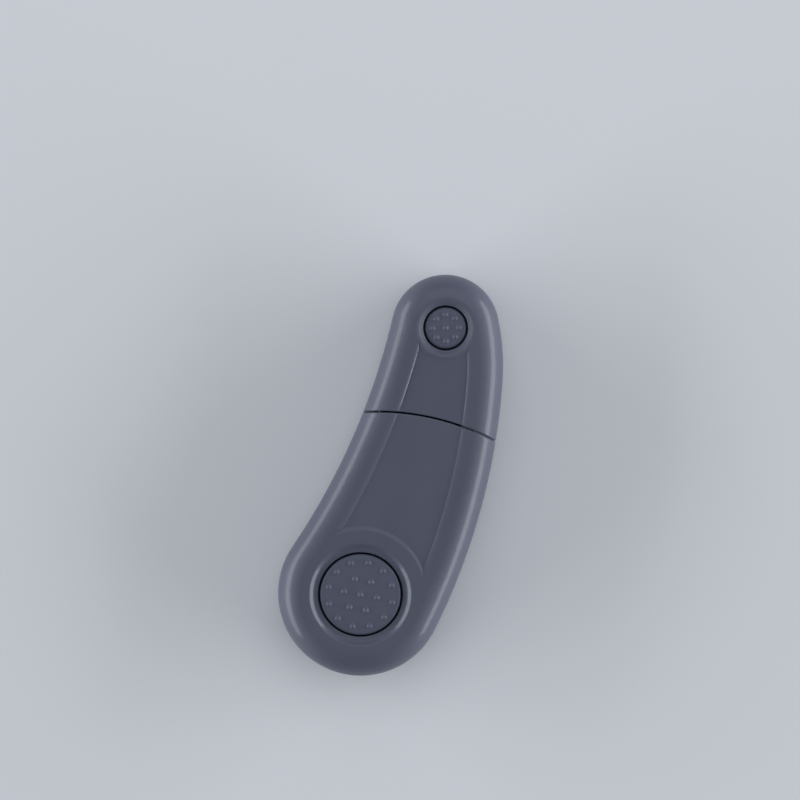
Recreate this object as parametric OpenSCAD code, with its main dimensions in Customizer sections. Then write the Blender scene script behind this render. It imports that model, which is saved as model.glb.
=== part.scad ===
// Cabinet safety lock: a swinging arm on one door hooks into a catch on the next one.
// Millimetres. The origin is on the door face under the arm's pivot, +Y runs to the catch, +Z off the door.

/* [Outline] */
// Distance from the pivot to the middle of the small button
button_span = 67.5; // [60:0.5:76]
// Radius of the big end, round the pivot
big_end_r = 20.1; // [19.5:0.1:22]
// Radius of the small end, round the small button
small_end_r = 13.1; // [12.8:0.1:14.5]
// Radius of the shoulder beside the small end
shoulder_r = 56; // [48:0.5:66]
// Direction in which the shoulder leaves the small end, in degrees
shoulder_angle = 30; // [26:1:36]
// Radius of the long bulging flank
flank_r = 160; // [140:1:190]
// Radius of the long hollow flank
hollow_r = 168; // [150:1:240]

/* [Shell] */
// Height of the flat top above the door
body_h = 20.5; // [20:0.1:23]
// Wall of the two shells
wall = 1.8; // [1.4:0.1:2.2]
// Height of the shells' rim above the door
rim_gap = 1.6; // [1.2:0.1:2]
// Radius of the rolled edge, seen in section
crown_r = 6.6; // [6.4:0.1:7.4]
// Width of the rolled edge, from the outline to the flat top
crown_w = 6.2; // [5.8:0.1:6.4]

/* [Seam] */
// Distance from the middle of the small button back to the seam, on the lock's axis
seam_back = 22; // [20:0.1:24]
// Radius of the seam between arm and catch
seam_r = 60.4; // [50:0.1:70]
// Sideways place of the seam's centre
seam_x = 8.8; // [7:0.1:10]
// Open width of the seam
seam_gap = 0.4; // [0.3:0.05:0.6]

/* [Buttons] */
// Radius of the big button
big_button_r = 9.75; // [9.3:0.05:9.9]
// Travel of the big button
big_travel = 2.5; // [1.5:0.1:2.8]
// Radius of the small button
small_button_r = 5; // [4.6:0.05:5.2]
// Travel of the small button
small_travel = 1.5; // [1:0.1:1.8]
// Gap round a button in its hole
button_gap = 0.4; // [0.3:0.05:0.5]
// Height of a button's top above its ledge
button_proud = 0.5; // [0.2:0.05:0.7]
// Thickness of the big button's cap
cap_t = 2; // [1.6:0.1:2.4]
// Wall of the big button's skirt
skirt_t = 1.4; // [1:0.1:1.8]
// Radius of the small button's stem and of the peg under it
stem_r = 2; // [1.6:0.1:2.4]
// Length of the small button's stem below its flange
stem_l = 3.2; // [2.8:0.1:3.3]
// Length of the guide under the big button's hole
big_guide_l = 4.6; // [4:0.1:5]
// Length of the guide under the small button's hole
small_guide_l = 3; // [2.6:0.1:3.4]
// Wall of the guides
guide_t = 1.3; // [1:0.1:1.5]
// Thickness of the flange that keeps a button in
flange_t = 1.3; // [1:0.1:1.6]
// Reach of the flange under its guide
flange_lip = 0.8; // [0.6:0.05:1]

/* [Bumps] */
// Radius of a bump on a button
bump_r = 0.7; // [0.5:0.05:0.8]
// Height of a bump on a button
bump_h = 0.3; // [0.2:0.05:0.4]
// Radius of the big button's inner ring of bumps
bump_ring_in = 4; // [3.5:0.1:4.5]
// Radius of the big button's outer ring of bumps
bump_ring_out = 7.9; // [7:0.1:8.2]
// Radius of the small button's ring of bumps
bump_ring_small = 3.2; // [2.8:0.1:3.5]
// Turn of the outer and the small ring of bumps, in degrees
bump_turn = -26; // [-45:1:45]
// Turn of the inner ring of bumps, in degrees
bump_turn_in = 7; // [-30:1:30]

/* [Dishes and panel] */
// Radius of the shallow bowl round the big button
big_bowl_r = 16; // [15:0.1:17]
// Radius of the step round the big button
big_step_r = 12.4; // [11.8:0.1:13]
// Radius of the shallow bowl round the small button
small_bowl_r = 7.4; // [7.2:0.1:8.5]
// Radius of the step round the small button
small_step_r = 6.6; // [6.2:0.1:7]
// Depth of a bowl where it meets its step
bowl_depth = 0.2; // [0.1:0.05:0.4]
// Depth of the ledge round a button
ledge_depth = 1.1; // [0.8:0.05:1.3]
// Depth of the sunk panel between the two bowls
panel_depth = 0.35; // [0.2:0.05:0.5]
// Distance from the outline in to the sunk panel
panel_edge = 8.4; // [8:0.1:9]

/* [Pivot] */
// Thickness of the adhesive pads
pad_t = 1; // [0.6:0.1:1.2]
// Width of the rim that a pad leaves free round it
pad_rim = 1; // [0.6:0.1:1.5]
// Thickness of the two base plates
base_t = 2; // [1.8:0.1:2.4]
// Radius of the pivot's base plate
pivot_base_r = 14.5; // [13:0.1:16]
// Radius of the hub that the arm turns on
hub_r = 6; // [5.5:0.1:6.4]
// Thickness of the glide washer
glide_t = 0.4; // [0.3:0.05:0.5]
// Radial width of the glide washer
glide_w = 5.85; // [4:0.05:6.5]
// Thickness of the arm's floor
floor_t = 2.2; // [2:0.1:2.6]
// Wall of the collar round the hub
collar_t = 2; // [1.6:0.1:2.2]
// Height of the collar above the arm's floor
collar_h = 3; // [2.6:0.1:3.4]
// Thickness of the pivot washer
pivot_washer_t = 1.2; // [1:0.1:1.5]

/* [Lock ring] */
// Height of the lock ring
ring_h = 1.9; // [1.6:0.1:2]
// Radial width of the lock ring
ring_w = 1.5; // [1.2:0.1:1.6]
// Width of a tooth of the lock ring
ring_tooth_w = 3; // [2.4:0.1:3.6]
// Depth of a tooth in the hub
ring_tooth_depth = 0.6; // [0.4:0.05:0.7]
// Open gap of the lock ring
ring_gap_w = 2.6; // [2.2:0.1:3]
// How far the big button's leg spreads that gap
ring_spread = 3; // [2:0.1:3.4]

/* [Tongue and catch] */
// Thickness of the hooked tongue
tongue_t = 4; // [3.5:0.1:4.2]
// Height of the tongue's underside above the door
tongue_z = 6.5; // [6.4:0.1:6.8]
// Length of the tongue beyond the seam, on the lock's axis
tongue_l = 18.5; // [17.5:0.1:19]
// Place of the tongue's left edge
tongue_left = -9; // [-9.6:0.1:-8]
// Place of the tongue's right edge
tongue_right = 11; // [10:0.1:12.5]
// Length of the solid block behind the tongue
block_l = 6; // [5:0.1:7]
// Radius of the catch post
post_r = 3; // [2.6:0.1:3.2]
// Sideways place of the catch post
post_x = 3; // [1.5:0.1:3.5]
// Distance of the catch post beyond the seam
post_in = 9; // [8.5:0.1:9.5]
// Wall round the foot and the head of the post
post_wall = 1.5; // [1.2:0.1:1.8]
// Thickness left under the foot of the post
post_floor = 0.8; // [0.6:0.1:1]
// Length of the post's head above the tongue
post_head = 3.2; // [2.6:0.1:3.6]
// Clearance of the post in the hook
hook_clear = 0.25; // [0.2:0.05:0.4]
// Thickness of the latch finger
finger_t = 0.9; // [0.7:0.05:1]
// Width of the latch finger
finger_w = 6; // [5:0.1:6.4]
// Distance of the latch finger's screw beyond the small button
finger_back = 7.9; // [7.4:0.1:8.2]
// Height of the latch tooth above its finger
latch_tooth_h = 1.5; // [1.3:0.05:1.6]
// Length of the latch tooth
latch_tooth_l = 2; // [1.6:0.1:2.4]
// Tongue left between the latch tooth and the tongue's tip
latch_lip = 1.7; // [1.4:0.1:2]

/* [Fasteners] */
// Shank radius of the shell screws
screw_r = 1.1; // [0.9:0.05:1.2]
// Head radius of the shell screws
screw_head_r = 1.9; // [1.7:0.05:2.1]
// Head height of the shell screws
screw_head_h = 1.2; // [1:0.05:1.3]
// Depth of the shell screws in their bosses
screw_bite = 6; // [4.5:0.1:6.5]
// Boss radius for the shell screws
boss_r = 2.1; // [1.9:0.05:2.3]
// Distance of the two front screws of the arm from the pivot
front_boss_r = 21; // [19:0.1:22]
// Direction of the first of them, in degrees
front_boss_right = 66; // [62:1:70]
// Direction of the second of them, in degrees
front_boss_left = 101; // [98:1:106]
// Direction of the catch's screws from the small button, in degrees
catch_boss_angle = 10; // [0:1:20]
// Shank radius of the pivot screw
pivot_screw_r = 1.5; // [1.3:0.05:1.7]
// Solid height left in the hub under the pivot screw
pivot_screw_floor = 1; // [0.6:0.1:1.5]
// Head radius of the pivot screw
pivot_head_r = 3; // [2.6:0.1:3.4]
// Head height of the pivot screw
pivot_head_h = 2; // [1.6:0.1:2.2]
// Length of the cross slot in its head
slot_l = 3.2; // [2.6:0.1:3.6]
// Width of the cross slot
slot_w = 0.6; // [0.5:0.05:0.8]
// Depth of the cross slot
slot_depth = 1; // [0.8:0.1:1.2]

/* [Springs] */
// Wire radius of the big button's spring
big_wire_r = 0.4; // [0.3:0.05:0.45]
// Coil radius of the big button's spring
big_coil_r = 5.2; // [4.6:0.1:5.8]
// Turns of the big button's spring
big_turns = 4; // [3:1:5]
// Wire radius of the short spring under the latch finger
small_wire_r = 0.3; // [0.25:0.05:0.35]
// Coil radius of the short spring under the latch finger
small_coil_r = 2.2; // [1.8:0.1:2.4]
// Turns of the short spring under the latch finger
small_turns = 2; // [2:1:3]

/* [Clearances] */
// Clearance of the hub in its bore and of the post in its seats
run_clear = 0.05; // [0.03:0.01:0.1]
// Clearance of pieces that are set into each other
fit_clear = 0.15; // [0.1:0.05:0.2]
// Play of moving pieces along the door's normal
play = 0.15; // [0.1:0.05:0.2]
// Free space between pieces that pass each other
body_clear = 0.3; // [0.2:0.05:0.4]
// Free space beyond the tip of the swinging tongue
sweep_clear = 0.5; // [0.4:0.1:0.8]

/* [Hidden] */
$fn = 64;

// Reach of half-spaces, and overshoot of cutters
far = 200;
eps = 0.2;

// Centres of the arcs that make the outline
big_c = [0, 0];
small_c = [0, button_span];
shoulder_c = small_c - (shoulder_r - small_end_r) * [cos(shoulder_angle), sin(shoulder_angle)];
flank_c = meet(big_c, flank_r - big_end_r, shoulder_c, flank_r - shoulder_r);
hollow_c = meet(big_c, hollow_r + big_end_r, small_c, hollow_r + small_end_r);

// Seam: where it crosses the lock's axis, and the centre of its arc
seam_y = button_span - seam_back;
seam_c = [seam_x, seam_y - sqrt(seam_r * seam_r - seam_x * seam_x)];

// The point to the left of the line from p to q that lies at distances rp and rq from them
function meet(p, rp, q, rq) =
    let (
        span = norm(q - p),
        along = (rp * rp - rq * rq + span * span) / (2 * span),
        across = sqrt(rp * rp - along * along),
        dir = (q - p) / span
    )
    p + along * dir + across * [-dir[1], dir[0]];

function heading(p, q) = atan2(q[1] - p[1], q[0] - p[0]);
function upto(from, to) = to > from ? to : to + 360;
function polar(r, angle) = r * [cos(angle), sin(angle)];
function arc(c, r, from, to, steps) = [
    for (i = [0:steps - 1]) c + polar(r, from + (to - from) * i / steps)
];

// The outline drawn in by a distance, counter-clockwise from the foot of the bulging flank
function outline(inset) =
    let (
        flank_from = heading(flank_c, big_c),
        flank_to = heading(flank_c, shoulder_c),
        small_to = upto(shoulder_angle, heading(small_c, hollow_c)),
        big_from = heading(big_c, hollow_c)
    )
    concat(
        arc(flank_c, flank_r - inset, flank_from, flank_to, 10),
        arc(shoulder_c, shoulder_r - inset, flank_to, shoulder_angle, 6),
        arc(small_c, small_end_r - inset, shoulder_angle, small_to, 14),
        arc(hollow_c, hollow_r + inset, heading(hollow_c, small_c), heading(hollow_c, big_c), 10),
        arc(big_c, big_end_r - inset, big_from, upto(big_from, flank_from), 20)
    );

// Levels, upwards from the door
base_top = pad_t + base_t;
floor_z = base_top + glide_t + play / 2;
floor_top = floor_z + floor_t;
collar_top = floor_top + collar_h;
hub_top = collar_top + play;
washer_top = hub_top + pivot_washer_t;
tongue_top = tongue_z + tongue_t;
spring_line = body_h - sqrt(crown_r * crown_r - pow(crown_r - crown_w, 2));
ceiling = body_h - wall;
ledge_z = body_h - ledge_depth;
finger_top = tongue_z - 2 * body_clear;
finger_z = finger_top - finger_t;
mouth_z = tongue_z - body_clear;
mouth_top = tongue_top + body_clear;

// Height of the rolled edge's inner face at a distance in from the outline
function roof_z(in) = spring_line + sqrt(pow(crown_r - wall, 2) - pow(crown_r - in, 2));

// Buttons
button_top = ledge_z + button_proud;
cap_under = button_top - cap_t;
big_hole_r = big_button_r + button_gap;
small_hole_r = small_button_r + button_gap;
big_guide_z = ceiling - big_guide_l;
small_guide_z = ceiling - small_guide_l;
big_flange_top = big_guide_z - play;
small_flange_top = small_guide_z - play;
big_flange_r = big_hole_r + flange_lip;
small_flange_r = small_hole_r + flange_lip;
stem_tip = small_flange_top - flange_t - stem_l;

// Pivot and lock ring
hub_bore_r = hub_r + run_clear;
collar_r = hub_bore_r + collar_t;
pivot_washer_r = collar_r - play;
glide_in_r = hub_r + fit_clear;
pivot_screw_z = base_top + pivot_screw_floor;
ring_in_r = collar_r + fit_clear;
ring_out_r = ring_in_r + ring_w;
ring_top = floor_top + ring_h;
tooth_tip_r = hub_r - ring_tooth_depth;
tooth_slot_w = ring_tooth_w + 2 * fit_clear;
leg_tip_w = ring_gap_w - 2 * fit_clear;
leg_w = ring_gap_w + ring_spread;
leg_tip = ring_top + fit_clear;
leg_well = max(0, big_travel - ring_h - fit_clear + body_clear);

// Tongue, hook and catch
tongue_reach = seam_y + tongue_l;
sweep_r = tongue_reach + sweep_clear;
post_c = [post_x, seam_y + post_in];
post_seat_r = post_r + run_clear;
post_boss_r = post_seat_r + post_wall;
post_foot_z = pad_t + post_floor;
post_top = tongue_top + post_head;
hook_r = post_r + hook_clear;
finger_root = small_c + [0, finger_back];
finger_tip_y = tongue_reach - latch_lip - latch_tooth_l;

// Depth of the well that the finger's tip goes down into when the small button is pressed
finger_dip = small_travel * (finger_root[1] - finger_tip_y) / finger_back;
finger_well = max(0, finger_dip - (finger_z - base_top) + body_clear);

// Screw places
arm_bosses = [
    polar(front_boss_r, front_boss_right),
    polar(front_boss_r, front_boss_left),
    [post_x, seam_y - block_l - boss_r - body_clear]
];
catch_boss_reach = small_flange_r + boss_r + body_clear;
catch_bosses = [
    small_c + polar(catch_boss_reach, catch_boss_angle),
    small_c + polar(catch_boss_reach, 180 - catch_boss_angle)
];
catch_boss_top = roof_z(small_end_r - catch_boss_reach - boss_r / 2);

// Colours
shell_colour = [0.36, 0.38, 0.46];
button_colour = [0.34, 0.35, 0.39];
frame_colour = [0.28, 0.29, 0.34];
spring_plastic = [0.82, 0.83, 0.85];
steel = [0.72, 0.73, 0.75];
foam = [0.93, 0.93, 0.91];

// Crowned body: straight sides up to the spring line, a rolled edge, then a flat top
module crown(inset, from_z) {
    points_round = len(outline(inset));
    roll_r = crown_r - inset;
    roll_end = asin((body_h - inset - spring_line) / roll_r);
    roll_steps = 6;
    levels = concat(
        [[inset, from_z]],
        [
            for (i = [0:roll_steps])
                let (turn = roll_end * i / roll_steps)
                [crown_r - roll_r * cos(turn), spring_line + roll_r * sin(turn)]
        ]
    );
    points = [for (level = levels) for (p = outline(level[0])) [p[0], p[1], level[1]]];
    last = len(levels) - 1;
    sides = [
        for (k = [0:last - 1])
            for (j = [0:points_round - 1])
                let (
                    a = k * points_round + j,
                    b = k * points_round + (j + 1) % points_round
                )
                each [[a, b + points_round, b], [a, a + points_round, b + points_round]]
    ];
    bottom = [[for (j = [0:points_round - 1]) j]];
    top = [[for (j = [points_round - 1:-1:0]) last * points_round + j]];
    polyhedron(points, concat(sides, bottom, top));
}

// Plain slab of the outline
module slab(inset, from_z, to_z) {
    translate([0, 0, from_z])
        linear_extrude(to_z - from_z)
            polygon(outline(inset));
}

// Everything on the arm's side of the seam, drawn back from it by a distance
module seam_disc(back) {
    translate([seam_c[0], seam_c[1], -far / 2])
        cylinder(r = seam_r - back, h = far, $fn = 180);
}

module disc(r, from_z, to_z) {
    translate([0, 0, from_z])
        cylinder(r = r, h = to_z - from_z);
}

module ring(r_in, r_out, from_z, to_z) {
    difference() {
        disc(r_out, from_z, to_z);
        disc(r_in, from_z - eps, to_z + eps);
    }
}

module box(x0, x1, y0, y1, z0, z1) {
    translate([x0, y0, z0])
        cube([x1 - x0, y1 - y0, z1 - z0]);
}

// Shallow bowl, step and ledge round a button, as a cutter
module dish(bowl_r, step_r) {
    rotate_extrude($fn = 96)
        polygon([
            [0, ledge_z],
            [step_r - ledge_depth + bowl_depth, ledge_z],
            [step_r, body_h - bowl_depth],
            [bowl_r, body_h],
            [bowl_r, body_h + eps],
            [0, body_h + eps]
        ]);
}

// Sunk panel of both shells, which ends at the two bowls, as a cutter
module panel() {
    difference() {
        slab(panel_edge, body_h - panel_depth, body_h + eps);
        disc(big_bowl_r, 0, far);
        translate(small_c)
            disc(small_bowl_r, 0, far);
    }
}

// Low round bump that stands on a button
module bump() {
    sphere_r = (bump_r * bump_r + bump_h * bump_h) / (2 * bump_h);
    intersection() {
        translate([0, 0, bump_h - sphere_r])
            sphere(r = sphere_r, $fn = 48);
        translate([0, 0, -eps])
            cylinder(r = 2 * bump_r, h = 2 * bump_h + eps);
    }
}

module bump_ring(count, r, turn) {
    for (i = [0:count - 1])
        rotate(turn + 360 * i / count)
            translate([r, 0, 0])
                bump();
}

// One unbroken wire wound into a coil that stands on from_z and reaches to_z
function coil_path(coil_r, wire_r, turns, from_z, to_z) = [
    for (i = [0:turns * 8])
        let (share = i / (turns * 8))
        [coil_r * cos(45 * i), coil_r * sin(45 * i), from_z + wire_r + share * (to_z - from_z - 2 * wire_r)]
];

module coil(coil_r, wire_r, turns, from_z, to_z) {
    path = coil_path(coil_r, wire_r, turns, from_z, to_z);
    last = len(path) - 1;
    points = [
        for (i = [0:last])
            for (s = [0:5])
                let (
                    turn = 45 * i,
                    out = [cos(turn), sin(turn), 0]
                )
                path[i] + wire_r * (cos(60 * s) * out + sin(60 * s) * [0, 0, 1])
    ];
    sides = [
        for (i = [0:last - 1])
            for (s = [0:5])
                let (
                    a = 6 * i + s,
                    b = 6 * i + (s + 1) % 6
                )
                each [[a, b, b + 6], [a, b + 6, a + 6]]
    ];
    start = [for (s = [1:4]) [0, s + 1, s]];
    end = [for (s = [1:4]) [6 * last, 6 * last + s, 6 * last + s + 1]];
    polyhedron(points, concat(sides, start, end));
}

// Least gap of a coil to itself, from the points of its path that lie a turn apart
function coil_gap(path, wire_r) = min([
    for (i = [0:len(path) - 1])
        for (j = [i + 6:1:len(path) - 1])
            norm(path[i] - path[j]) - 2 * wire_r
]);

module pivot_pad() {
    color(foam)
        disc(pivot_base_r - pad_rim, 0, pad_t);
}

module pivot_base() {
    color(frame_colour)
        difference() {
            union() {
                disc(pivot_base_r, pad_t, base_top);
                disc(hub_r, pad_t, hub_top);
            }
            disc(pivot_screw_r, pivot_screw_z, hub_top + eps);
            difference() {
                box(
                    -far, far, -tooth_slot_w / 2, tooth_slot_w / 2,
                    floor_top - fit_clear, ring_top + fit_clear
                );
                disc(tooth_tip_r - fit_clear, 0, far);
            }
        }
}

module glide_washer() {
    color("white")
        ring(glide_in_r, glide_in_r + glide_w, base_top, base_top + glide_t);
}

module pivot_washer() {
    color(steel)
        ring(pivot_screw_r + fit_clear, pivot_washer_r, hub_top, washer_top);
}

module pivot_screw() {
    head_top = washer_top + pivot_head_h;
    color(steel)
        difference() {
            union() {
                disc(pivot_screw_r, pivot_screw_z + body_clear, washer_top + eps);
                disc(pivot_head_r, washer_top, head_top);
            }
            for (turn = [0, 90])
                rotate(turn)
                    box(
                        -slot_l / 2, slot_l / 2, -slot_w / 2, slot_w / 2,
                        head_top - slot_depth, head_top + eps
                    );
        }
}

module arm_frame() {
    frame_inset = wall + fit_clear;
    color(frame_colour)
        difference() {
            union() {
                intersection() {
                    slab(frame_inset, floor_z, floor_top);
                    seam_disc(seam_gap / 2);
                }
                disc(collar_r, floor_z, collar_top);
                difference() {
                    intersection() {
                        slab(frame_inset, floor_z, tongue_top);
                        seam_disc(seam_gap / 2);
                    }
                    seam_disc(seam_gap / 2 + block_l);
                }
                intersection() {
                    box(tongue_left, tongue_right, seam_y - block_l / 2, far, tongue_z, tongue_top);
                    disc(tongue_reach, 0, far);
                }
            }
            disc(hub_bore_r, 0, far);
            box(
                -leg_w / 2, leg_w / 2, collar_r, ring_out_r + body_clear,
                floor_top - leg_well, floor_top + eps
            );
            hook_cut();
            latch_recess();
            for (p = arm_bosses)
                translate(p) {
                    disc(screw_r + fit_clear, 0, floor_top + eps);
                    disc(screw_head_r + fit_clear, 0, floor_z + screw_head_h);
                }
            box(
                -ring_out_r, ring_out_r, -tooth_slot_w / 2, tooth_slot_w / 2,
                floor_top, ring_top + fit_clear
            );
        }
}

// Round seat for the post, with a mouth that runs out of the tongue's left edge along the arm's swing
module hook_cut() {
    post_reach = norm(post_c);
    translate(post_c)
        disc(hook_r, tongue_z - eps, tongue_top + eps);
    intersection() {
        ring(post_reach - hook_r, post_reach + hook_r, tongue_z - eps, tongue_top + eps);
        box(-far, post_x, 0, far, 0, far);
    }
}

module latch_recess() {
    box(
        -finger_w / 2 - body_clear, finger_w / 2 + body_clear,
        finger_tip_y - body_clear, finger_tip_y + latch_tooth_l + body_clear,
        tongue_z - eps, finger_top + latch_tooth_h + body_clear
    );
}

// Hollow of a shell, which leaves a wall beside the seam above the tongue
module arm_hollow() {
    difference() {
        crown(wall, rim_gap - eps);
        difference() {
            box(-far, far, 0, far, mouth_top, far);
            seam_disc(seam_gap / 2 + wall);
        }
    }
}

module catch_hollow() {
    difference() {
        crown(wall, rim_gap - eps);
        intersection() {
            box(-far, far, 0, far, mouth_top, far);
            seam_disc(-seam_gap / 2 - wall);
        }
    }
}

module arm_shell() {
    color(shell_colour)
        difference() {
            union() {
                difference() {
                    intersection() {
                        crown(0, rim_gap);
                        seam_disc(seam_gap / 2);
                    }
                    arm_hollow();
                }
                disc(big_hole_r + guide_t, big_guide_z, ceiling + eps);
                for (p = arm_bosses)
                    translate(p)
                        disc(boss_r, floor_top, ceiling + eps);
            }
            dish(big_bowl_r, big_step_r);
            panel();
            disc(big_hole_r, floor_top, far);
            for (p = arm_bosses)
                translate(p)
                    disc(screw_r, floor_top - eps, floor_top + screw_bite);
        }
}

module screw(head_z, tip_z) {
    disc(screw_head_r, head_z, head_z + screw_head_h);
    disc(screw_r, head_z + screw_head_h - eps, tip_z);
}

module arm_screws() {
    color(steel)
        for (p = arm_bosses)
            translate(p)
                screw(floor_z, floor_top + screw_bite - body_clear);
}

module lock_ring() {
    color(spring_plastic)
        difference() {
            union() {
                ring(ring_in_r, ring_out_r, floor_top, ring_top);
                difference() {
                    intersection() {
                        box(
                            -ring_out_r + ring_w / 2, ring_out_r - ring_w / 2,
                            -ring_tooth_w / 2, ring_tooth_w / 2, floor_top, ring_top
                        );
                        disc(ring_in_r + ring_w / 2, 0, far);
                    }
                    disc(tooth_tip_r, 0, far);
                }
            }
            box(-ring_gap_w / 2, ring_gap_w / 2, 0, far, 0, far);
        }
}

module pivot_spring() {
    path = coil_path(big_coil_r, big_wire_r, big_turns, washer_top, cap_under);
    echo(pivot_spring_gap = coil_gap(path, big_wire_r));
    color(steel)
        coil(big_coil_r, big_wire_r, big_turns, washer_top, cap_under);
}

module pivot_button() {
    flange_z = big_flange_top - flange_t;
    color(button_colour) {
        difference() {
            union() {
                disc(big_button_r, flange_z, button_top);
                disc(big_flange_r, flange_z, big_flange_top);
                intersection() {
                    ring(ring_in_r + fit_clear, ring_out_r, leg_tip, big_flange_top);
                    leg_wedge(big_flange_top);
                }
            }
            disc(big_button_r - skirt_t, flange_z - eps, cap_under);
        }
        translate([0, 0, button_top]) {
            bump();
            bump_ring(6, bump_ring_in, bump_turn_in);
            bump_ring(12, bump_ring_out, bump_turn);
        }
    }
}

// Wedge that spreads the lock ring as the big button goes down
module leg_wedge(top_z) {
    translate([0, far, 0])
        rotate([90, 0, 0])
            linear_extrude(far)
                polygon([
                    [-leg_tip_w / 2, leg_tip], [leg_tip_w / 2, leg_tip],
                    [leg_w / 2, leg_tip + big_travel], [leg_w / 2, top_z],
                    [-leg_w / 2, top_z], [-leg_w / 2, leg_tip + big_travel]
                ]);
}

module catch_pad() {
    color(foam)
        difference() {
            slab(wall + fit_clear + pad_rim, 0, pad_t);
            seam_disc(-seam_gap / 2 - pad_rim);
        }
}

module catch_base() {
    color(frame_colour)
        difference() {
            union() {
                difference() {
                    slab(wall + fit_clear, pad_t, base_top);
                    seam_disc(-seam_gap / 2);
                }
                translate(post_c)
                    disc(post_boss_r, pad_t, mouth_z - body_clear);
                translate(finger_root)
                    disc(boss_r, pad_t, finger_z);
            }
            translate(post_c)
                disc(post_seat_r, post_foot_z, far);
            translate(finger_root)
                disc(screw_r, base_top - eps, far);
            box(
                -finger_w / 2 - body_clear, finger_w / 2 + body_clear,
                finger_tip_y - body_clear, finger_root[1] - boss_r - body_clear,
                base_top - finger_well, base_top + eps
            );
            for (p = catch_bosses)
                translate(p) {
                    disc(screw_r + fit_clear, 0, base_top + eps);
                    disc(screw_head_r + fit_clear, 0, pad_t + screw_head_h);
                }
        }
}

module catch_post() {
    color(steel)
        translate(post_c)
            disc(post_r, post_foot_z, post_top);
}

module catch_shell() {
    color(shell_colour)
        difference() {
            union() {
                difference() {
                    crown(0, rim_gap);
                    seam_disc(-seam_gap / 2);
                    catch_hollow();
                }
                translate(small_c)
                    disc(small_hole_r + guide_t, small_guide_z, ceiling + eps);
                translate(post_c)
                    disc(post_boss_r, mouth_top + body_clear, ceiling + eps);
                for (p = catch_bosses)
                    translate(p)
                        disc(boss_r, base_top, catch_boss_top);
            }
            translate(small_c) {
                dish(small_bowl_r, small_step_r);
                disc(small_hole_r, small_guide_z - eps, far);
            }
            panel();
            translate(post_c)
                disc(post_seat_r, mouth_top, post_top + fit_clear);
            for (p = catch_bosses)
                translate(p)
                    disc(screw_r, base_top - eps, base_top + screw_bite);
            intersection() {
                disc(sweep_r, mouth_z, mouth_top);
                box(tongue_left - body_clear, far, 0, far, 0, far);
            }
        }
}

module catch_screws() {
    color(steel)
        for (p = catch_bosses)
            translate(p)
                screw(pad_t, base_top + screw_bite - body_clear);
}

module latch_finger() {
    color(spring_plastic)
        difference() {
            union() {
                box(-finger_w / 2, finger_w / 2, finger_tip_y, finger_root[1], finger_z, finger_top);
                translate(finger_root)
                    disc(finger_w / 2, finger_z, finger_top);
                box(
                    -finger_w / 2, finger_w / 2, finger_tip_y, finger_tip_y + latch_tooth_l,
                    finger_z, finger_top + latch_tooth_h
                );
                translate(small_c)
                    disc(stem_r, finger_z, stem_tip - play);
            }
            translate(finger_root)
                disc(screw_r + fit_clear, 0, far);
        }
}

module latch_screw() {
    color(steel)
        translate(finger_root) {
            disc(screw_r, base_top, finger_top + eps);
            disc(screw_head_r, finger_top, finger_top + screw_head_h);
        }
}

module catch_spring() {
    seat = base_top - finger_well;
    path = coil_path(small_coil_r, small_wire_r, small_turns, seat, finger_z);
    echo(catch_spring_gap = coil_gap(path, small_wire_r));
    color(steel)
        translate(small_c)
            coil(small_coil_r, small_wire_r, small_turns, seat, finger_z);
}

module catch_button() {
    flange_z = small_flange_top - flange_t;
    color(button_colour)
        translate(small_c) {
            disc(small_button_r, flange_z, button_top);
            disc(small_flange_r, flange_z, small_flange_top);
            disc(stem_r, stem_tip, button_top - eps);
            translate([0, 0, button_top]) {
                bump();
                bump_ring(8, bump_ring_small, bump_turn);
            }
        }
}

pivot_pad();
pivot_base();
glide_washer();
pivot_washer();
pivot_screw();
arm_frame();
arm_shell();
arm_screws();
lock_ring();
pivot_spring();
pivot_button();
catch_pad();
catch_base();
catch_post();
catch_shell();
catch_screws();
latch_finger();
latch_screw();
catch_spring();
catch_button();
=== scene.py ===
import math

import bmesh
import bpy
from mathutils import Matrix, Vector


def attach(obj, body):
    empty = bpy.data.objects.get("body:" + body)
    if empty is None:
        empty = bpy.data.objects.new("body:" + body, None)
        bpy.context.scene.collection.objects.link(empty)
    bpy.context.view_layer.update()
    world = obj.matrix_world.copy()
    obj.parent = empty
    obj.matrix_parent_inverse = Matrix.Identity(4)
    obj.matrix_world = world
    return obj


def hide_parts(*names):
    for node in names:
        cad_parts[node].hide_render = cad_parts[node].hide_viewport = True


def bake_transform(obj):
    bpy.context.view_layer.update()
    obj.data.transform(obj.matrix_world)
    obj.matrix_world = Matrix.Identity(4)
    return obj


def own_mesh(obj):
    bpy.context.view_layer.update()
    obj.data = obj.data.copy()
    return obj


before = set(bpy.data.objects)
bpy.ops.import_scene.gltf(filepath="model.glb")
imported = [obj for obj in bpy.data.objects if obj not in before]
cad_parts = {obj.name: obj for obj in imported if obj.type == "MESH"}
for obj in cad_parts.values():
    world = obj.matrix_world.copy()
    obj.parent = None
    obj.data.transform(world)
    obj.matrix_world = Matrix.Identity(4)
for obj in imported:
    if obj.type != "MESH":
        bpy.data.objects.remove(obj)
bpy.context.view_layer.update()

# Sizes are in millimetres unless a comment says metres
MM = 0.001
TINY = 1e-9

# Outline of the lock: five arcs that run into each other
SPAN = 67.5
BIG_END, SMALL_END = 20.1, 13.1
SHOULDER, SHOULDER_TURN = 56.0, math.radians(30)
FLANK, HOLLOW = 160.0, 168.0
BIG_C = Vector((0, 0))
SMALL_C = Vector((0, SPAN))

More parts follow.
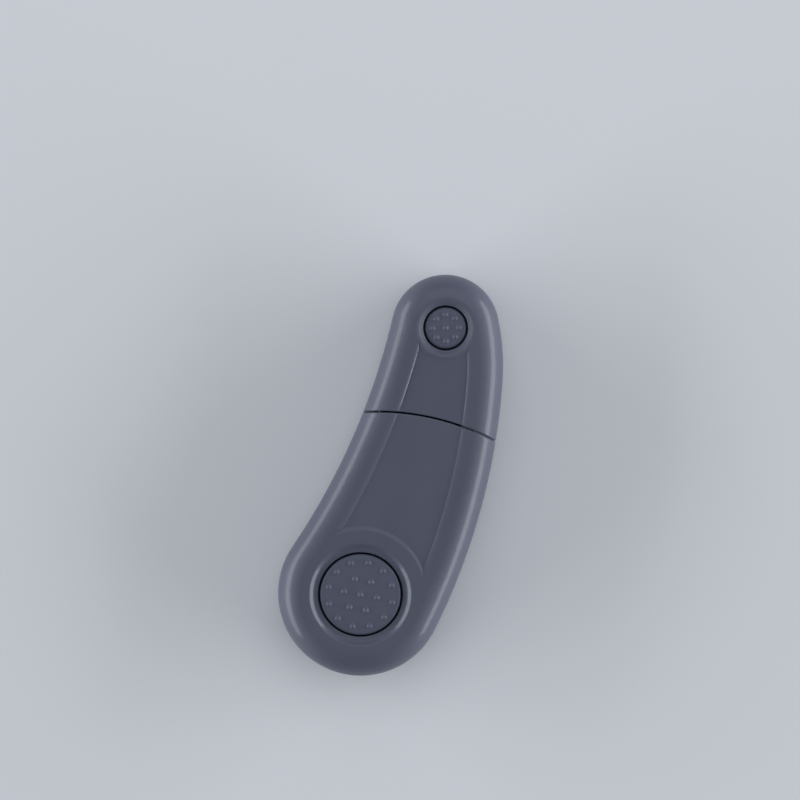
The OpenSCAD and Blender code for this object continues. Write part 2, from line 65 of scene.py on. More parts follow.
# Crowned section: heights, wall, rolled edge and the rounding of the rim
BODY_H = 20.5
WALL = 1.8
RIM_Z = 1.6
RIM_ROUND, RIM_MID = 0.25, 0.08
ROLL_R, ROLL_W = 6.6, 6.2
ROLL_TURN = math.acos(1 - ROLL_W / ROLL_R)
SPRING_LINE = BODY_H - math.sqrt(ROLL_R ** 2 - (ROLL_R - ROLL_W) ** 2)

# Seam between arm and catch: its arc and gap, the rounding of its edges and the lean of its walls
SEAM_X, SEAM_R, SEAM_BACK, SEAM_GAP = 8.8, 60.4, 22.0, 0.4
SEAM_C = Vector((SEAM_X, SPAN - SEAM_BACK - math.sqrt(SEAM_R ** 2 - SEAM_X ** 2)))
SEAM_ROUND, SEAM_LEAN = 0.3, 0.17

# Mouth of the catch, and the two sides of the tongue that swings into it
MOUTH_Z, MOUTH_TOP, MOUTH_REACH, MOUTH_LEFT = 6.2, 10.8, 64.5, -9.3
TONGUE_LEFT, TONGUE_RIGHT = -9.0, 11.0

# Dishes round the buttons, as radius and height of each bend, and the rounding of bends and holes
BIG_DISH = [(10.15, 19.3), (11.35, 19.5), (12.3, 20.34), (16.0, 20.5)]
SMALL_DISH = [(5.4, 19.7), (5.7, 19.78), (6.6, 20.32), (7.4, 20.5)]
BEND = 0.22
LIP = 0.3

# Tubes under the holes that guide the buttons: their wall and the heights where they end
GUIDE_WALL = 1.3
BIG_GUIDE_Z, SMALL_GUIDE_Z = 14.1, 15.7

# Sunk panel between the buttons: depth, the two ends, and its edges left and right
PANEL_DEPTH = 0.42
BIG_ARC, BIG_ARC_SOFT = 16.0, 0.6
SMALL_ARC, SMALL_ARC_SOFT = 7.4, 0.7
LEFT_EDGE, RIGHT_EDGE = 8.05, 8.85

# Steepness of the panel's lips on the arm, what the catch adds to it, and where along the lock it changes
LEFT_STEEP, RIGHT_STEEP = (2.0, 3.0), (3.2, 1.6)
STEEP_FROM, STEEP_TO = 38, 50

# Push buttons: top, rounded edge, sag of the top towards its edge, flange and bumps
BUTTON_TOP = 19.9
BUTTON_EDGE, BUTTON_SAG = 0.7, 0.12
FLANGE_T = 1.3
BUMP_R, BUMP_H = 0.95, 0.42

# Wedge under the big button: height and width of each row, and its inner and outer radius
LEG_ROWS = [(7.725, 2.3), (10.225, 5.6), (13.0, 5.6)]
LEG_IN, LEG_OUT = 8.35, 9.7

# Foam pads: radius of the round one, and the section as share of the way to the middle and height
PIVOT_PAD_R = 13.45
PAD_SECTION = [
    (1.0, 0.0), (0.5, 0.0), (0.05, 0.0), (0.0, 0.06), (-0.012, 0.2), (-0.02, 0.5),
    (-0.012, 0.8), (0.0, 0.94), (0.05, 1.0), (0.5, 1.0), (1.0, 1.0),
]

# Where the latch finger is divided so that it can bend, in metres
FINGER_BEND, FINGER_STEP, FINGER_ROWS = 0.0695, 0.0005, 9

# Spacing of the meshes
ARC_STEPS, SEAM_STEPS, ROLL_STEPS = 400, 300, 30
STEP_RINGS, BOWL_RINGS, ARC_RINGS, PANEL_RINGS = 18, 5, 12, 14
MOUTH_SIDES, PAD_POINTS, LEG_STEPS, BUTTON_EDGE_STEPS = 720, 160, 10, 6
COIL_STEPS, WIRE_SIDES = 40, 12
SEAM_CLEAR, ON_SEAM = 0.02, 0.01
END_STEP, END_REACH = 0.00005, 800
RING_GAP, BUTTON_RING = 0.1, 0.16
HOLE_STEPS = (0.0, 0.02, 0.06, 0.13, 0.21, LIP)
EDGE_STEPS = (
    0.3, 0.15, 0.07, 0.02, -0.02, -0.06, -0.1, -0.15,
    -0.2, -0.27, -0.35, -0.45, -0.6, -0.8, -1.1, -1.5,
)
SEAM_ROWS = (0.2, 0.12, 0.05, 0.0)
INNER_STEPS = (0.0, 0.02, 0.06, 0.12, 0.2, 0.3, 0.42, 0.56, 0.72, 0.86, 1.0)
SHARP_TURN = math.radians(35)

# Distances at which points are joined, in metres
WELD, FINE_WELD = 1e-6, 1e-7

# Plastic: roughness of the glossy skin, share of light that it mirrors, unevenness of colour and gloss
SKIN_ROUGHNESS = 0.16
MIRROR_SHARE = 0.4
FLOW_SHADE = 0.06
GLOSS_DOWN, GLOSS_UP = 0.03, 0.04

# Range in which most values of a noise lie, for a value and for a colour that it drives
NOISE_LOW, NOISE_HIGH = 0.3, 0.7
TINT_LOW, TINT_HIGH = 0.35, 0.65

# Studio, in metres: floor, lamps, room light and camera
FLOOR_HALF = 3
LAMP_COLOUR = (0.93, 0.97, 1.0)
ROOM_COLOUR, ROOM_STRENGTH = (0.90, 0.93, 1.0, 1), 0.27
VIEW_TURN = math.radians(17.73)
VIEW_C = Vector((-5.2, 47.6, BUTTON_TOP)) * MM
CAMERA_AWAY, PICTURE_WIDTH, SENSOR_WIDTH = 0.65, 0.1928, 36


def meet(p, rp, q, rq):
    """The point left of the line from p to q at distances rp and rq from them."""
    along = (q - p).normalized()
    span = (q - p).length
    reach = (rp * rp - rq * rq + span * span) / (2 * span)
    return p + reach * along + math.sqrt(rp * rp - reach * reach) * Vector((-along.y, along.x))


def heading(p, q):
    return math.atan2(q.y - p.y, q.x - p.x)


def polar(r, turn):
    return Vector((r * math.cos(turn), r * math.sin(turn)))


def upto(start, turn):
    return turn if turn > start else turn + math.tau


SHOULDER_C = SMALL_C - polar(SHOULDER - SMALL_END, SHOULDER_TURN)
FLANK_C = meet(BIG_C, FLANK - BIG_END, SHOULDER_C, FLANK - SHOULDER)
HOLLOW_C = meet(BIG_C, HOLLOW + BIG_END, SMALL_C, HOLLOW + SMALL_END)
BIG_FROM = heading(BIG_C, HOLLOW_C)

# Each arc: centre, radius, first and last direction, and which side of it is inside
ARCS = [
    (FLANK_C, FLANK, heading(FLANK_C, BIG_C), heading(FLANK_C, SHOULDER_C), 1),
    (SHOULDER_C, SHOULDER, heading(FLANK_C, SHOULDER_C), SHOULDER_TURN, 1),
    (SMALL_C, SMALL_END, SHOULDER_TURN, upto(SHOULDER_TURN, heading(SMALL_C, HOLLOW_C)), 1),
    (HOLLOW_C, HOLLOW, heading(HOLLOW_C, BIG_C), heading(HOLLOW_C, SMALL_C), -1),
    (BIG_C, BIG_END, BIG_FROM, upto(BIG_FROM, heading(FLANK_C, BIG_C)), 1),
]


def edge_distance(p):
    """How far inside the outline a point lies, negative outside."""
    found = []
    for c, r, start, end, side in ARCS:
        turn = math.atan2(p.y - c.y, p.x - c.x)
        if (turn - start) % math.tau <= (end - start) % math.tau + TINY:
            found.append(side * (r - (p - c).length))
    return min(found)


def seam_distance(p, side):
    """How far a point lies on its own side of the seam: side 1 is the arm, -1 the catch."""
    return side * (SEAM_R - (p - SEAM_C).length) - SEAM_GAP / 2


def soften(low, high, value):
    t = min(1.0, max(0.0, (value - low) / (high - low)))
    return t * t * (3 - 2 * t)


def rounding(radius, inside):
    """How far a rounded edge falls back at a distance inside it."""
    over = max(0.0, radius - inside)
    return radius - math.sqrt(max(0.0, radius ** 2 - over ** 2))


def roll_height(d):
    d = min(max(d, 0.0), ROLL_W)
    return SPRING_LINE + math.sqrt(ROLL_R ** 2 - (ROLL_R - d) ** 2)


def dish_height(dish, r):
    """Height along a dish's straight slopes, with each bend rounded."""
    z, last_slope = dish[0][1], 0.0
    for (r0, z0), (r1, z1) in zip(dish, dish[1:]):
        slope = (z1 - z0) / (r1 - r0)
        past = r - r0
        if r0 == dish[0][0]:
            z += slope * past
        elif past > BEND:
            z += (slope - last_slope) * past
        elif past > -BEND:
            z += (slope - last_slope) * (past + BEND) ** 2 / (4 * BEND)
        last_slope = slope
    return z


def panel_share(p):
    """How much of the panel's full depth a point has: it falls off along a lip at each long side."""
    edge, (steep, added) = (LEFT_EDGE, LEFT_STEEP) if p.x < 0 else (RIGHT_EDGE, RIGHT_STEEP)
    power = steep + added * soften(STEEP_FROM, STEEP_TO, p.y)
    lip = (edge_distance(p) - ROLL_W) / (edge - ROLL_W)
    return min(
        min(1.0, max(0.0, lip)) ** power,
        soften(-BIG_ARC_SOFT, BIG_ARC_SOFT, (p - BIG_C).length - BIG_ARC),
        soften(-SMALL_ARC_SOFT, SMALL_ARC_SOFT, (p - SMALL_C).length - SMALL_ARC),
    )


def top_height(p, centre, dish):
    """Height of a shell's outer face: rolled edge, sunk panel and the dish round its button."""
    z = roll_height(edge_distance(p)) - PANEL_DEPTH * panel_share(p)
    r = (p - centre).length
    if r < dish[-1][0]:
        z = min(z, dish_height(dish, r))
    return z - rounding(LIP, r - dish[0][0])


def along_ray(centre, direction, reach, value, target):
    """Distance along a ray to where value falls to target, or the ray's reach."""
    if value(centre + reach * direction) >= target:
        return reach
    low, high = 0.0, reach
    for _ in range(40):
        mid = (low + high) / 2
        if value(centre + mid * direction) >= target:
            low = mid
        else:
            high = mid
    return high


def inward(p):
    """Direction in which a point goes away from the outline fastest."""
    h = 0.01
    across = edge_distance(p + Vector((h, 0))) - edge_distance(p - Vector((h, 0)))
    along = edge_distance(p + Vector((0, h))) - edge_distance(p - Vector((0, h)))
    return Vector((across, along)).normalized()


def off_seam(p, side):
    """Direction in which a point goes away from the seam into its own unit."""
    return (SEAM_C - p).normalized() * side


def tucked(p, side, flank_in, seam_in):
    """The nearest point that lies far enough inside both the outline and the seam."""
    for _ in range(8):
        p = p + inward(p) * max(0.0, flank_in - edge_distance(p))
        p = p + off_seam(p, side) * max(0.0, seam_in - seam_distance(p, side))
    return p


def even_steps(path, count):
    """Points at even distances along an open path, without its last one."""
    lengths = [0.0]
    for a, b in zip(path, path[1:]):
        lengths.append(lengths[-1] + (b - a).length)
    points, k = [], 0
    for i in range(count):
        want = lengths[-1] * i / count
        while lengths[k + 1] < want:
            k += 1
        share = (want - lengths[k]) / (lengths[k + 1] - lengths[k])
        points.append(path[k].lerp(path[k + 1], share))
    return points


def border_points(side, count, flank_in, seam_in):
    """Points round one unit, each with its place inside and the height of its foot.

    They run evenly along the unit's part of the outline, then along its edge of the seam, which gets a
    fifth of them. A point where the foot steps up or down comes twice, so that the wall's end stands
    upright there.
    """
    walk = []
    for c, r, start, end, side_in in ARCS:
        if side_in < 0:
            start, end = end, start
        walk += [c + polar(r, start + (end - start) * i / ARC_STEPS) for i in range(ARC_STEPS)]
    kept = [p for p in walk if seam_distance(p, side) > SEAM_CLEAR]
    gaps = [(kept[(i + 1) % len(kept)] - kept[i]).length for i in range(len(kept))]
    first = (gaps.index(max(gaps)) + 1) % len(kept)
    kept = kept[first:] + kept[:first]
    seam_r = SEAM_R - side * SEAM_GAP / 2
    ends = []
    for p in (kept[-1], kept[0]):
        turn = heading(SEAM_C, p)
        ends.append(min(
            (turn + k * END_STEP for k in range(-END_REACH, END_REACH + 1)),
            key=lambda t: abs(edge_distance(SEAM_C + polar(seam_r, t))),
        ))
    sweep = (ends[1] - ends[0]) / SEAM_STEPS
    seam = [SEAM_C + polar(seam_r, ends[0] + sweep * i) for i in range(SEAM_STEPS + 1)]
    flank = [seam[-1]] + kept[1:-1] + [seam[0]]
    along_seam = count // 5
    rows = []
    for p in even_steps(flank, count - along_seam):
        rows.append((p, tucked(p, side, flank_in, seam_in), RIM_Z))
    for p in even_steps(seam, along_seam):
        q = tucked(p, side, flank_in, seam_in)
        foot = MOUTH_TOP if TONGUE_LEFT < p.x < TONGUE_RIGHT else RIM_Z
        if foot != rows[-1][2]:
            rows.append((p, q, rows[-1][2]))
        rows.append((p, q, foot))
    return rows


def wrapped_grid(columns, rows, place):
    """A grid closed into a sleeve, with each point put where place(column, row) says, in millimetres."""
    bm = bmesh.new()
    bmesh.ops.create_grid(bm, x_segments=columns, y_segments=rows, size=0.5)
    for v in bm.verts:
        i = round((v.co.x + 0.5) * columns)
        j = round((v.co.y + 0.5) * rows)
        v.co = place(i % columns, j) * MM
    bmesh.ops.remove_doubles(bm, verts=bm.verts, dist=WELD)
    return bm


def mesh_of(name, bm):
    mesh = bpy.data.meshes.new(name)
    bm.to_mesh(mesh)
    bm.free()
    return mesh


def placed(name, data):
    """A new object in the scene."""
    thing = bpy.data.objects.new(name, data)
    bpy.context.scene.collection.objects.link(thing)
    return thing


def finish_piece(name, bm, material, body, slot, *nodes):
    """Makes a piece of a mesh: smooth faces with sharp edges, material, body and replaced nodes; the slot
    is not used.
    """
    mesh = mesh_of(name, bm)
    for face in mesh.polygons:
        face.use_smooth = True
    mesh.set_sharp_from_angle(angle=SHARP_TURN)
    mesh.materials.append(material)
    piece = placed(name, mesh)
    if body:
        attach(piece, body)
    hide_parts(*nodes)
    return piece


def spaced(start, end, count):
    return [start + (end - start) * i / count for i in range(1, count + 1)]


def ring_radii(point, centre, side, dish, arc, arc_soft):
    """Radii of the outer face's points on the ray from the button's centre to a border point."""
    hole = dish[0][0]
    dish_end = dish[2][0] + BEND + RING_GAP
    arc_start = max(arc - arc_soft, dish_end)
    flat = [hole + step for step in HOLE_STEPS]
    flat += spaced(hole + LIP, dish_end, STEP_RINGS) + spaced(dish_end, arc_start, BOWL_RINGS)
    flat += spaced(arc_start, arc + arc_soft, ARC_RINGS)
    edge = LEFT_EDGE if point.x < 0 else RIGHT_EDGE
    depths = [edge + step for step in EDGE_STEPS]
    depths += [ROLL_R * (1 - math.cos(ROLL_TURN * i / ROLL_STEPS)) for i in range(ROLL_STEPS, -1, -1)]
    reach = (point - centre).length
    ray = (point - centre) / reach

    def to_seam(gap):
        return along_ray(centre, ray, reach, lambda p: seam_distance(p, side), gap)

    seam_stop = to_seam(SEAM_ROUND)
    panel_end = along_ray(centre, ray, reach, edge_distance, depths[0] + RING_GAP)
    panel_end = min(max(panel_end, dish_end), seam_stop)
    rings = [min(r, panel_end) for r in flat]
    rings += spaced(rings[-1], panel_end, PANEL_RINGS)
    for d in depths:
        r = along_ray(centre, ray, reach, edge_distance, d) if d > 0 else reach
        rings.append(min(max(r, rings[-1]), max(seam_stop, rings[-1])))
    for gap in SEAM_ROWS:
        r = to_seam(gap) if gap else reach
        rings.append(max(r, rings[-1]))
    return rings


def shell_skin(side, centre, dish, arc, arc_soft, guide_z, count):
    """One shell as a single closed skin.

    It runs from the hole over the dish, the panel and the rolled edge down the wall, then back inside to
    the hole.
    """
    hole = dish[0][0]
    columns = []
    for point, inner, foot in border_points(side, count, WALL, WALL):
        ray = (point - centre) / (point - centre).length
        spots = [Vector((centre.x + hole * ray.x, centre.y + hole * ray.y, guide_z))]
        for r in ring_radii(point, centre, side, dish, arc, arc_soft):
            p = centre + r * ray
            fall = rounding(SEAM_ROUND, seam_distance(p, side))
            spots.append(Vector((p.x, p.y, top_height(p, centre, dish) - fall)))
        edge_z = spots[-1].z
        foot = min(foot, edge_z)
        lean = off_seam(point, side) * (-SEAM_LEAN if seam_distance(point, side) < ON_SEAM else 0.0)
        for level in (MOUTH_TOP, MOUTH_Z, RIM_Z + RIM_ROUND, RIM_Z + RIM_MID, RIM_Z):
            z = max(min(level, edge_z), foot)
            p = point + (inner - point).normalized() * rounding(RIM_ROUND, z - RIM_Z)
            p = p + lean * min(1.0, max(0.0, (MOUTH_TOP - z) / (MOUTH_TOP - MOUTH_Z)))
            spots.append(Vector((p.x, p.y, z)))
        guide = centre + ray * (hole + GUIDE_WALL)
        spots.append(Vector((inner.x, inner.y, foot)))
        for share in INNER_STEPS:
            p = inner.lerp(guide, share)
            d = min(max(edge_distance(p), WALL), ROLL_W)
            roof = SPRING_LINE + math.sqrt((ROLL_R - WALL) ** 2 - (ROLL_R - d) ** 2)
            spots.append(Vector((p.x, p.y, max(min(roof, BODY_H - WALL), foot))))
        spots.append(Vector((guide.x, guide.y, guide_z)))
        spots.append(spots[0].copy())
        columns.append(spots)
    bm = wrapped_grid(len(columns), len(columns[0]) - 1, lambda i, j: columns[i][j])
    bmesh.ops.dissolve_degenerate(bm, dist=FINE_WELD, edges=bm.edges)
    bmesh.ops.recalc_face_normals(bm, faces=bm.faces)
    return bm


def cut_mouth(bm):
    """Opens the catch's wall where the arm's tongue swings in, with a cutter turned about the pivot."""
    cutter = bmesh.new()
    bmesh.ops.create_circle(cutter, cap_ends=True, segments=MOUTH_SIDES, radius=MOUTH_REACH * MM)
    for v in cutter.verts:
        v.co.z = MOUTH_Z * MM
    lifted = bmesh.ops.extrude_face_region(cutter, geom=cutter.faces[:])["geom"]
    bmesh.ops.translate(
        cutter,
        verts=[v for v in lifted if isinstance(v, bmesh.types.BMVert)],
        vec=(0, 0, (MOUTH_TOP - MOUTH_Z) * MM),
    )
    whole = cutter.verts[:] + cutter.edges[:] + cutter.faces[:]
    kept = bmesh.ops.bisect_plane(
        cutter, geom=whole, plane_co=(MOUTH_LEFT * MM, 0, 0), plane_no=(1, 0, 0), clear_inner=True
    )["geom_cut"]
    bmesh.ops.contextual_create(cutter, geom=[e for e in kept if isinstance(e, bmesh.types.BMEdge)])
    bmesh.ops.recalc_face_normals(cutter, faces=cutter.faces)
    block = placed("mouth_cutter", mesh_of("mouth_cutter", cutter))
    body = placed("catch_blank", mesh_of("catch_blank", bm))
    cut = body.modifiers.new("mouth", "BOOLEAN")
    cut.operation = "DIFFERENCE"
    cut.solver = "EXACT"
    cut.object = block
    graph = bpy.context.evaluated_depsgraph_get()
    opened = bmesh.new()
    opened.from_mesh(body.evaluated_get(graph).to_mesh())
    bpy.data.objects.remove(block)
    bpy.data.objects.remove(body)
    bmesh.ops.remove_doubles(opened, verts=opened.verts, dist=FINE_WELD)
    return opened


def bump_rise(p, spots):
    """Height of the small bumps on a button at a point."""
    for s in spots:
        share = (p - s).length / BUMP_R
        if share < 1:
            return BUMP_H * (0.5 + 0.5 * math.cos(math.pi * share))
    return 0.0


def button_skin(centre, radius, flange, flange_top, skirt, cap, bumps, count):
    """A push button turned from one closed profile, with its bumps raised out of the top."""
    spots = [Vector((0, 0))]
    for number, ring, turn in bumps:
        spots += [polar(ring, math.radians(turn) + math.tau * k / number) for k in range(number)]
    flat = radius - BUTTON_EDGE
    rings = [flat * i / (radius / BUTTON_RING) for i in range(1, int(radius / BUTTON_RING) + 1)]
    profile = [(0.0, BUTTON_TOP)] + [(r, BUTTON_TOP) for r in rings]
    shoulder = BUTTON_TOP - BUTTON_EDGE
    for i in range(1, BUTTON_EDGE_STEPS + 1):
        turn = math.pi / 2 * i / BUTTON_EDGE_STEPS
        profile.append((flat + BUTTON_EDGE * math.sin(turn), shoulder + BUTTON_EDGE * math.cos(turn)))
    flange_foot = flange_top - FLANGE_T
    profile += [(radius, flange_top), (flange, flange_top), (flange, flange_foot)]
    profile += [(skirt, flange_foot), (skirt, cap), (0.0, cap)]

    def place(i, j):
        r, z = profile[j]
        p = polar(r, math.tau * i / count)
        if j < len(rings) + 1:
            z += bump_rise(p, spots) - BUTTON_SAG * (r / radius) ** 2
        elif z > shoulder:
            z -= BUTTON_SAG
        return Vector((centre.x + p.x, centre.y + p.y, z))

    bm = wrapped_grid(count, len(profile) - 1, place)
    bmesh.ops.recalc_face_normals(bm, faces=bm.faces)
    return bm


def join_leg(bm):
    """Adds the wedge that spreads the lock ring: a curved plate that hangs from the big button's flange."""
    steps = len(LEG_ROWS) - 1
    leg = bmesh.ops.create_grid(bm, x_segments=LEG_STEPS, y_segments=steps, size=0.5)["verts"]
    faces = list({f for v in leg for f in v.link_faces})
    outer = bmesh.ops.extrude_face_region(bm, geom=faces, use_keep_orig=True)["geom"]
    outer = [v for v in outer if isinstance(v, bmesh.types.BMVert)]
    for verts, r in ((leg, LEG_IN), (outer, LEG_OUT)):
        for v in verts:
            z, width = LEG_ROWS[round((v.co.y + 0.5) * steps)]
            x = v.co.x * width
            v.co = Vector((x, math.sqrt(r * r - x * x), z)) * MM
    bmesh.ops.recalc_face_normals(bm, faces=bm.faces)


def pad_skin(rim):
    """A foam pad with a soft cut edge, from the points of its rim."""
    middle = sum(rim, Vector((0, 0))) / len(rim)

    def place(i, j):
        share, z = PAD_SECTION[j]
        p = rim[i].lerp(middle, share)
        return Vector((p.x, p.y, z))

    bm = wrapped_grid(len(rim), len(PAD_SECTION) - 1, place)
    bmesh.ops.recalc_face_normals(bm, faces=bm.faces)
    return bm


def coil_skin(centre, coil, wire, turns, low, high):
    """A coil spring of round wire that stands between two heights."""
    bm = bmesh.new()
    middle = Vector((centre.x, centre.y, 0)) * MM
    ring = bmesh.ops.create_circle(bm, segments=WIRE_SIDES, radius=wire * MM)["verts"]
    for v in ring:
        v.co = middle + Vector((coil * MM + v.co.x, 0, (low + wire) * MM + v.co.y))
    steps = turns * COIL_STEPS
    bmesh.ops.spin(
        bm, geom=bm.edges[:], cent=middle, axis=(0, 0, 1),
        dvec=(0, 0, (high - low - 2 * wire) * MM / steps), angle=math.tau * turns, steps=steps,
    )
    bmesh.ops.holes_fill(bm, edges=bm.edges, sides=0)
    bmesh.ops.recalc_face_normals(bm, faces=bm.faces)
    return bm


def new_material(name, colour, roughness, metallic=0.0, coat=0.0):
    material = bpy.data.materials.new(name)
    material.use_nodes = True
    shader = material.node_tree.nodes["Principled BSDF"]
    shader.inputs["Base Color"].default_value = (*colour, 1)
    shader.inputs["Roughness"].default_value = roughness
    shader.inputs["Metallic"].default_value = metallic
    shader.inputs["Coat Weight"].default_value = coat
    shader.inputs["Coat Roughness"].default_value = SKIN_ROUGHNESS
    material.diffuse_color = (*colour, 1)
    return material, material.node_tree, shader


def noise_at(tree, scale, detail, stretch=(1, 1, 1)):
    place = tree.nodes.new("ShaderNodeTexCoord")
    turn = tree.nodes.new("ShaderNodeMapping")
    turn.inputs["Scale"].default_value = stretch
    noise = tree.nodes.new("ShaderNodeTexNoise")
    noise.inputs["Scale"].default_value = scale
    noise.inputs["Detail"].default_value = detail
    tree.links.new(place.outputs["Object"], turn.inputs["Vector"])
    tree.links.new(turn.outputs["Vector"], noise.inputs["Vector"])
    return noise


def spread(tree, source, low, high, target):
    """Drives an input between two values by a noise."""
    span = tree.nodes.new("ShaderNodeMapRange")
    span.inputs["From Min"].default_value = NOISE_LOW
    span.inputs["From Max"].default_value = NOISE_HIGH
    span.inputs["To Min"].default_value = low
    span.inputs["To Max"].default_value = high
    tree.links.new(source, span.inputs["Value"])
    tree.links.new(span.outputs["Result"], target)


def tint(tree, source, dark, light, target):
    """Drives a colour between a dark and a light one by a noise."""
    ramp = tree.nodes.new("ShaderNodeValToRGB")
    ramp.color_ramp.elements[0].position = TINT_LOW
    ramp.color_ramp.elements[1].position = TINT_HIGH
    ramp.color_ramp.elements[0].color = (*dark, 1)
    ramp.color_ramp.elements[1].color = (*light, 1)
    tree.links.new(source, ramp.inputs["Fac"])
    tree.links.new(ramp.outputs["Color"], target)


def raise_grain(tree, shader, source, height):
    """Raises a noise as fine grain, of a height in metres."""
    bump = tree.nodes.new("ShaderNodeBump")
    bump.inputs["Distance"].default_value = height
    bump.inputs["Strength"].default_value = 1.0
    tree.links.new(source, bump.inputs["Height"])
    tree.links.new(bump.outputs["Normal"], shader.inputs["Normal"])


def moulded_plastic(name, colour, roughness, grain_height, coat=0.0):
    """Injection-moulded plastic: a fine mould grain, slight flow marks, uneven gloss and a smooth skin."""
    material, tree, shader = new_material(name, colour, roughness, coat=coat)
    shader.inputs["Specular IOR Level"].default_value = MIRROR_SHARE
    flow = noise_at(tree, scale=45, detail=4, stretch=(1, 0.35, 1))
    dark = [c * (1 - FLOW_SHADE) for c in colour]
    light = [c * (1 + FLOW_SHADE) for c in colour]
    tint(tree, flow.outputs["Fac"], dark, light, shader.inputs["Base Color"])
    gloss = noise_at(tree, scale=160, detail=5)
    smooth, dull = roughness - GLOSS_DOWN, roughness + GLOSS_UP
    spread(tree, gloss.outputs["Fac"], smooth, dull, shader.inputs["Roughness"])
    grain = noise_at(tree, scale=3800, detail=2)
    raise_grain(tree, shader, grain.outputs["Fac"], grain_height)
    return material


def zinc_steel():
    """Bright zinc-plated steel with fine turning marks."""
    material, tree, shader = new_material("zinc_steel", (0.56, 0.57, 0.60), 0.3, metallic=1.0)
    marks = noise_at(tree, scale=1500, detail=3, stretch=(1, 1, 6))
    spread(tree, marks.outputs["Fac"], 0.22, 0.40, shader.inputs["Roughness"])
    cloud = noise_at(tree, scale=220, detail=4)
    dark, light = (0.50, 0.51, 0.54), (0.62, 0.63, 0.65)
    tint(tree, cloud.outputs["Fac"], dark, light, shader.inputs["Base Color"])
    raise_grain(tree, shader, marks.outputs["Fac"], 0.000004)
    return material


def cell_foam():
    """White closed-cell adhesive foam with open pores along its cut edge, each pore painted darker as
    painted shade.
    """
    material, tree, shader = new_material("cell_foam", (0.80, 0.80, 0.77), 0.9)
    place = tree.nodes.new("ShaderNodeTexCoord")
    cells = tree.nodes.new("ShaderNodeTexVoronoi")
    cells.inputs["Scale"].default_value = 4200
    tree.links.new(place.outputs["Object"], cells.inputs["Vector"])
    # Painted shade: the colour darkens towards the middle of each cell, down in the pore that the grain
    # presses in
    dark, light = (0.62, 0.62, 0.59), (0.84, 0.84, 0.81)
    tint(tree, cells.outputs["Distance"], dark, light, shader.inputs["Base Color"])
    raise_grain(tree, shader, cells.outputs["Distance"], 0.00008)
    return material


shell_plastic = moulded_plastic("shell_plastic", (0.080, 0.086, 0.126), 0.55, 0.000006, coat=0.28)
button_plastic = moulded_plastic("button_plastic", (0.083, 0.089, 0.130), 0.50, 0.000010)
frame_plastic = moulded_plastic("frame_plastic", (0.050, 0.053, 0.070), 0.48, 0.000012)
white_nylon = moulded_plastic("white_nylon", (0.62, 0.63, 0.65), 0.42, 0.000008)
steel = zinc_steel()
foam = cell_foam()

# The two shells
arm_skin = shell_skin(1, BIG_C, BIG_DISH, BIG_ARC, BIG_ARC_SOFT, BIG_GUIDE_Z, count=430)
finish_piece("arm_cover", arm_skin, shell_plastic, "arm", "shell", "arm_shell")
catch_blank = shell_skin(-1, SMALL_C, SMALL_DISH, SMALL_ARC, SMALL_ARC_SOFT, SMALL_GUIDE_Z, count=380)
catch_skin = cut_mouth(catch_blank)
finish_piece("catch_cover", catch_skin, shell_plastic, "lock_base", "shell", "catch_shell")

# The two buttons, with number, radius and turn of each ring of bumps
big_button = button_skin(
    BIG_C, radius=9.75, flange=10.95, flange_top=13.95, skirt=8.35, cap=17.9,
    bumps=[(6, 4.0, 7), (12, 7.9, -26)], count=300,
)
join_leg(big_button)
finish_piece("big_push_button", big_button, button_plastic, "pivot_button", "button", "pivot_button")
small_button = button_skin(
    SMALL_C, radius=5.0, flange=6.2, flange_top=15.55, skirt=2.0, cap=11.05,
    bumps=[(8, 3.2, -26)], count=200,
)
finish_piece("small_push_button", small_button, button_plastic, "catch_button", "button", "catch_button")

# The foam pads
round_rim = [polar(PIVOT_PAD_R, math.tau * i / PAD_POINTS) for i in range(PAD_POINTS)]
pivot_foam = finish_piece("pivot_foam", pad_skin(round_rim), foam, "lock_base", "foam", "pivot_pad")
catch_rim = [inner for _, inner, _ in border_points(-1, count=200, flank_in=3.0, seam_in=1.05)]
catch_foam = finish_piece("catch_foam", pad_skin(catch_rim), foam, "lock_base", "foam", "catch_pad")

# The springs and the latch finger, which give way under the buttons
big_wire = coil_skin(BIG_C, coil=5.2, wire=0.4, turns=4, low=10.025, high=17.9)
big_coil = finish_piece("big_coil", big_wire, steel, "arm", "steel", "pivot_spring")
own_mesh(big_coil)
small_wire = coil_skin(SMALL_C, coil=2.2, wire=0.3, turns=2, low=1.833, high=5.0)
small_coil = finish_piece("small_coil", small_wire, steel, "lock_base", "steel", "catch_spring")
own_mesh(small_coil)

finger = bmesh.new()
finger.from_mesh(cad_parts["latch_finger"].data)
bmesh.ops.remove_doubles(finger, verts=finger.verts, dist=WELD)
for step in range(FINGER_ROWS):
    whole = finger.verts[:] + finger.edges[:] + finger.faces[:]
    level = FINGER_BEND + FINGER_STEP * step
    bmesh.ops.bisect_plane(finger, geom=whole, plane_co=(0, level, 0), plane_no=(0, 1, 0))
spring_finger = finish_piece("spring_finger", finger, white_nylon, None, "spring_plastic", "latch_finger")
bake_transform(spring_finger)

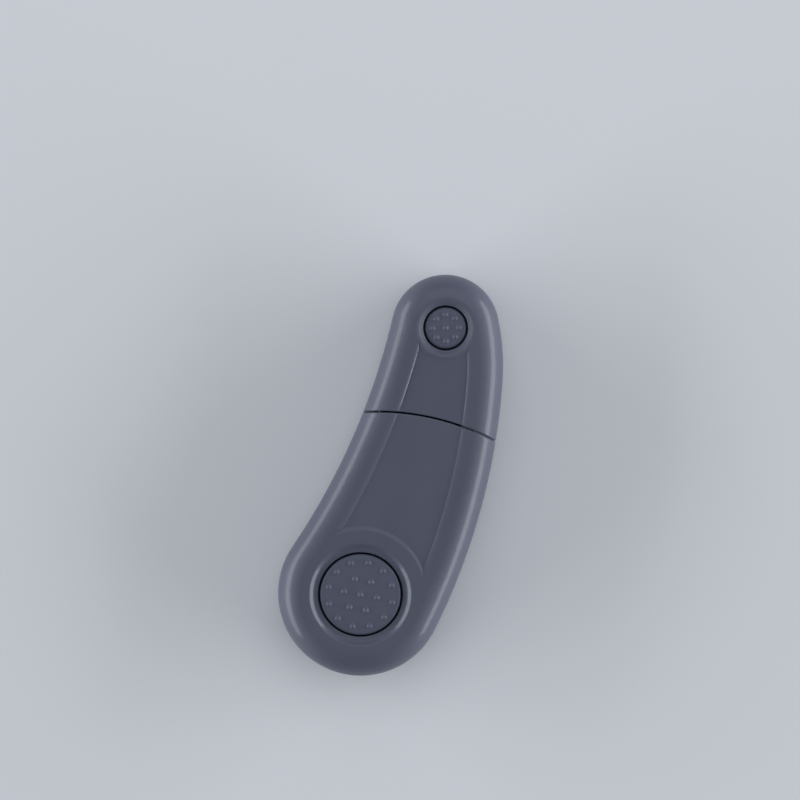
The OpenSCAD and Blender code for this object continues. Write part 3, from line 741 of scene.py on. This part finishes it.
# CAD nodes that keep their shape
KEPT = {
    frame_plastic: ("pivot_base", "arm_frame", "catch_base"),
    white_nylon: ("glide_washer", "lock_ring"),
    steel: ("pivot_washer", "pivot_screw", "arm_screws", "catch_post", "catch_screws", "latch_screw"),
}
for material, names in KEPT.items():
    for name in names:
        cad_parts[name].data.materials.clear()
        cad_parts[name].data.materials.append(material)


def studio():
    """Pale floor, a low softbox on either side, a weak one at the far end and soft room light."""
    bm = bmesh.new()
    bmesh.ops.create_grid(bm, x_segments=1, y_segments=1, size=FLOOR_HALF)
    floor = placed("floor", mesh_of("floor", bm))
    paint, _, _ = new_material("floor_paint", (0.74, 0.75, 0.78), 0.75)
    floor.data.materials.append(paint)
    right = Vector((math.cos(VIEW_TURN), math.sin(VIEW_TURN), 0))
    back = Vector((-right.y, right.x, 0))
    lamps = [
        ("left_softbox", -right * 2.0 + Vector((0, 0, 0.44)), 3.1, 0.84, 50.0),
        ("right_softbox", right * 2.0 + Vector((0, 0, 0.44)), 3.1, 0.84, 57.0),
        ("far_softbox", back * 0.55 + Vector((0, 0, 0.80)), 0.8, 0.8, 1.6),
    ]
    for name, place, width, height, power in lamps:
        lamp = bpy.data.lights.new(name, "AREA")
        lamp.shape = "RECTANGLE"
        lamp.size, lamp.size_y = width, height
        lamp.energy = power
        lamp.color = LAMP_COLOUR
        holder = placed(name, lamp)
        holder.location = VIEW_C + place
        holder.rotation_euler = (-place).to_track_quat("-Z", "Y").to_euler()
        holder.visible_camera = False
    world = bpy.data.worlds.new("room")
    bpy.context.scene.world = world
    world.use_nodes = True
    glow = world.node_tree.nodes["Background"]
    glow.inputs["Color"].default_value = ROOM_COLOUR
    glow.inputs["Strength"].default_value = ROOM_STRENGTH


def camera():
    """Straight from above, turned so that the lock leans as in the photo."""
    data = bpy.data.cameras.new("camera")
    data.sensor_width = SENSOR_WIDTH
    data.lens = SENSOR_WIDTH * CAMERA_AWAY / PICTURE_WIDTH
    holder = placed("camera", data)
    holder.location = VIEW_C + Vector((0, 0, CAMERA_AWAY))
    holder.rotation_euler = (0, 0, VIEW_TURN)
    bpy.context.scene.camera = holder
    bpy.context.scene.view_settings.view_transform = "Standard"


studio()
camera()
